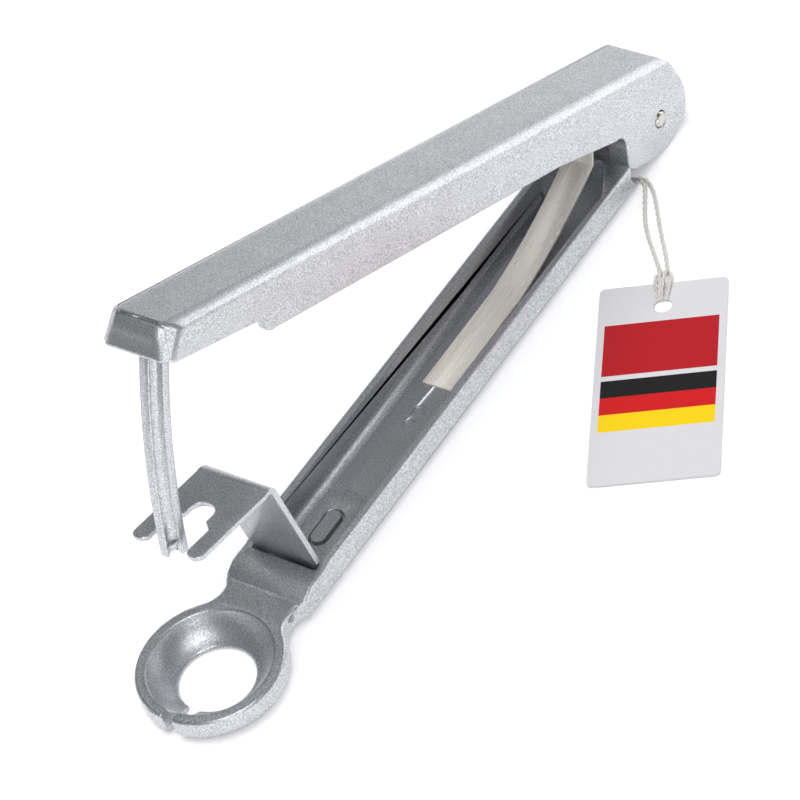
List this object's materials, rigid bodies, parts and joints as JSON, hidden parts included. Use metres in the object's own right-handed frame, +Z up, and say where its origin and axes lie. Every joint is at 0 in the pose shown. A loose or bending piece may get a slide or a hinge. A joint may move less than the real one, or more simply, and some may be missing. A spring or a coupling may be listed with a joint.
{
  "type": "cherry pitter",
  "caption": "Hand lever cherry pitter of cast aluminium: a channelled arm with a split cup ring, a sprung lever with a curved punch, a bent stripper plate and a blank hang tag.",
  "frame": {"origin": "centre of the cup ring, on the surface that the lower arm lies on", "axes": "+X from the cup ring to the hinge, +Z up, +Y to the side away from the hang tag"},
  "size_m": [0.1922, 0.0849, 0.0912],
  "materials": {
    "cast_arm": "satin cast, fine metallic grain",
    "cast_lever": "satin cast, fine metallic grain",
    "punch_metal": "satin cast, fluted",
    "bracket_sheet": "satin sheet",
    "spring_steel": "brushed",
    "pin_steel": "polished",
    "card": "matte printed card",
    "string": "twisted cotton"
  },
  "bodies": {
    "lower_arm": {"lower_arm": "cast_arm", "stripper_bracket": "bracket_sheet", "leaf_spring": "spring_steel", "hang_tag": "card", "tag_knot": "string", "tag_string_a": "string", "tag_string_b": "string"},
    "lever": {"lever": "cast_lever", "plunger": "punch_metal", "hinge_pin": "pin_steel"}
  },
  "joints": [
    {"name": "lever_hinge", "type": "hinge", "parent": "lower_arm", "child": "lever", "pos_m": [0.1655, 0, 0.00815], "axis": [0, -1, 0], "range_deg": [0, 14.9], "stiffness_Nm_per_rad": 0.5, "springref_deg": -22.92, "deforming": ["leaf_spring"]}
  ]
}
